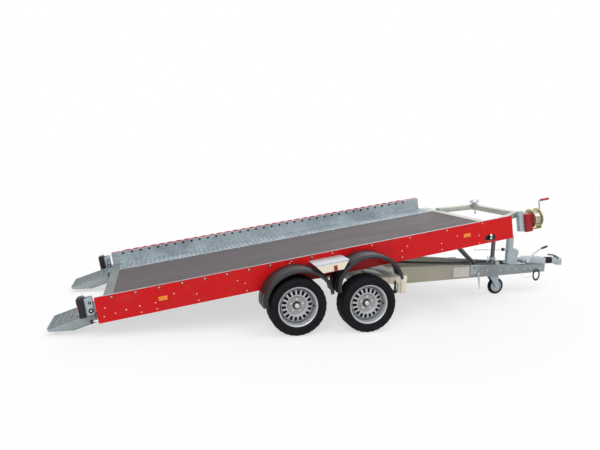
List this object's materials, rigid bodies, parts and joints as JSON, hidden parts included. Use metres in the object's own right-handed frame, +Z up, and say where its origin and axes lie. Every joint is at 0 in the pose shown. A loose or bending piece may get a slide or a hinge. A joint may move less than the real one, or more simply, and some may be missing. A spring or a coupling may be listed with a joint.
{
  "type": "tilt car trailer",
  "caption": "Tandem axle tilting platform trailer for carrying a car, with hand winch, fold-up loading ramps, jockey wheel and ball coupling.",
  "frame": {"origin": "on the floor, at the centre of the bounding box seen from above, with the platform tilted for loading", "axes": "+X forwards to the coupling, +Y to the left, +Z up"},
  "size_m": [5.7942, 2.536, 1.1992],
  "materials": {
    "red_paint": "gloss",
    "galvanised": "spangled",
    "drawbar_zinc": "weathered",
    "plywood": "film faced",
    "black_plastic": "satin",
    "tyre_rubber": "matt",
    "rim_silver": "satin",
    "winch_red": "satin",
    "yellow_zinc": "passivated",
    "nylon": "satin",
    "black_steel": "satin",
    "amber_lens": "gloss",
    "red_lens": "gloss"
  },
  "bodies": {
    "chassis": {"drawbar_beam_right": "drawbar_zinc", "drawbar_beam_left": "drawbar_zinc", "pivot_shaft": "galvanised", "axle_rear": "galvanised", "axle_front": "galvanised", "outrigger_right": "galvanised", "outrigger_left": "galvanised", "drawbar_crosstie": "galvanised", "jockey_tube": "black_steel", "latch_post": "galvanised", "latch_roller": "nylon", "latch_pull_rod": "galvanised", "overrun_housing": "galvanised", "coupling_bellows": "black_plastic", "coupling_head": "galvanised", "brake_lever": "galvanised"},
    "platform": {"side_panel_right": "red_paint", "side_panel_left": "red_paint", "side_profile_right": "galvanised", "side_profile_left": "galvanised", "floor_panel": "plywood", "track_plate_right": "galvanised", "track_plate_left": "galvanised", "rear_beam": "galvanised", "front_beam": "galvanised", "cross_member_rear": "galvanised", "cross_member_front": "galvanised", "pivot_cross_member": "galvanised", "lift_cross_member": "galvanised", "hoop_arm_right": "galvanised", "hoop_arm_left": "galvanised", "hoop_bar": "galvanised", "winch_post": "galvanised", "winch_cover": "winch_red", "mudguard_rear_right": "black_plastic", "mudguard_rear_left": "black_plastic", "mudguard_front_right": "black_plastic", "mudguard_front_left": "black_plastic", "step_plate_right": "galvanised", "step_plate_left": "galvanised", "rear_lamp_right": "black_plastic", "rear_lamp_left": "black_plastic"},
    "winch_drum": {"winch_drum": "yellow_zinc"},
    "winch_crank": {"winch_crank": "galvanised"},
    "ramp_right": {"ramp_right": "galvanised"},
    "ramp_left": {"ramp_left": "galvanised"},
    "cylinder_barrel": {"cylinder_barrel": "black_steel"},
    "cylinder_rod": {"cylinder_rod": "rim_silver"},
    "jockey_inner": {"jockey_inner": "galvanised"},
    "jockey_wheel": {"jockey_wheel": "tyre_rubber"},
    "wheel_rear_right": {"tyre_rear_right": "tyre_rubber", "rim_rear_right": "rim_silver"},
    "wheel_rear_left": {"tyre_rear_left": "tyre_rubber", "rim_rear_left": "rim_silver"},
    "wheel_front_right": {"tyre_front_right": "tyre_rubber", "rim_front_right": "rim_silver"},
    "wheel_front_left": {"tyre_front_left": "tyre_rubber", "rim_front_left": "rim_silver"}
  },
  "joints": [
    {"name": "platform_tilt", "type": "hinge", "parent": "chassis", "child": "platform", "pos_m": [-0.49289, 0, 0.405], "axis": [0, 1, 0], "range_deg": [-0.7, 10.27]},
    {"name": "ramp_right_fold", "type": "hinge", "parent": "platform", "child": "ramp_right", "pos_m": [-2.49778, -0.725, 0.19621], "axis": [0, 1, 0], "range_deg": [0, 90]},
    {"name": "ramp_left_fold", "type": "hinge", "parent": "platform", "child": "ramp_left", "pos_m": [-2.49778, 0.725, 0.19621], "axis": [0, 1, 0], "range_deg": [0, 90]},
    {"name": "cylinder_swing", "type": "hinge", "parent": "chassis", "child": "cylinder_barrel", "pos_m": [1.70711, 0, 0.315], "axis": [0, 1, 0], "range_deg": [-22, 1.6]},
    {"name": "cylinder_stroke", "type": "slide", "parent": "cylinder_barrel", "child": "cylinder_rod", "axis": [-0.7399, 0, 0.6728], "range_m": [-0.2, 0.015]},
    {"name": "jockey_raise", "type": "slide", "parent": "chassis", "child": "jockey_inner", "axis": [0, 0, 1], "range_m": [0, 0.172]},
    {"name": "jockey_wheel_spin", "type": "hinge", "parent": "jockey_inner", "child": "jockey_wheel", "pos_m": [1.92711, -0.08, 0.09808], "axis": [0, 1, 0], "continuous": true},
    {"name": "winch_drum_turn", "type": "hinge", "parent": "platform", "child": "winch_drum", "pos_m": [2.00355, -0.5003, 0.95896], "axis": [0.984, 0, 0.1783], "continuous": true},
    {"name": "winch_crank_turn", "type": "hinge", "parent": "platform", "child": "winch_crank", "pos_m": [2.15135, -0.5003, 0.87801], "axis": [0.984, 0, 0.1783], "continuous": true},
    {"name": "wheel_rear_right_spin", "type": "hinge", "parent": "chassis", "child": "wheel_rear_right", "pos_m": [-0.82089, -1.1525, 0.26025], "axis": [0, 1, 0], "continuous": true},
    {"name": "wheel_rear_left_spin", "type": "hinge", "parent": "chassis", "child": "wheel_rear_left", "pos_m": [-0.82089, 1.1525, 0.26025], "axis": [0, 1, 0], "continuous": true},
    {"name": "wheel_front_right_spin", "type": "hinge", "parent": "chassis", "child": "wheel_front_right", "pos_m": [-0.16489, -1.1525, 0.26025], "axis": [0, 1, 0], "continuous": true},
    {"name": "wheel_front_left_spin", "type": "hinge", "parent": "chassis", "child": "wheel_front_left", "pos_m": [-0.16489, 1.1525, 0.26025], "axis": [0, 1, 0], "continuous": true}
  ],
  "couplings": [
    {"joint": "cylinder_swing", "follows": "platform_tilt", "ratio": -2.1329},
    {"joint": "cylinder_stroke", "follows": "platform_tilt", "m_per_rad": -1.109},
    {"joint": "winch_crank_turn", "follows": "winch_drum_turn", "ratio": -4}
  ]
}
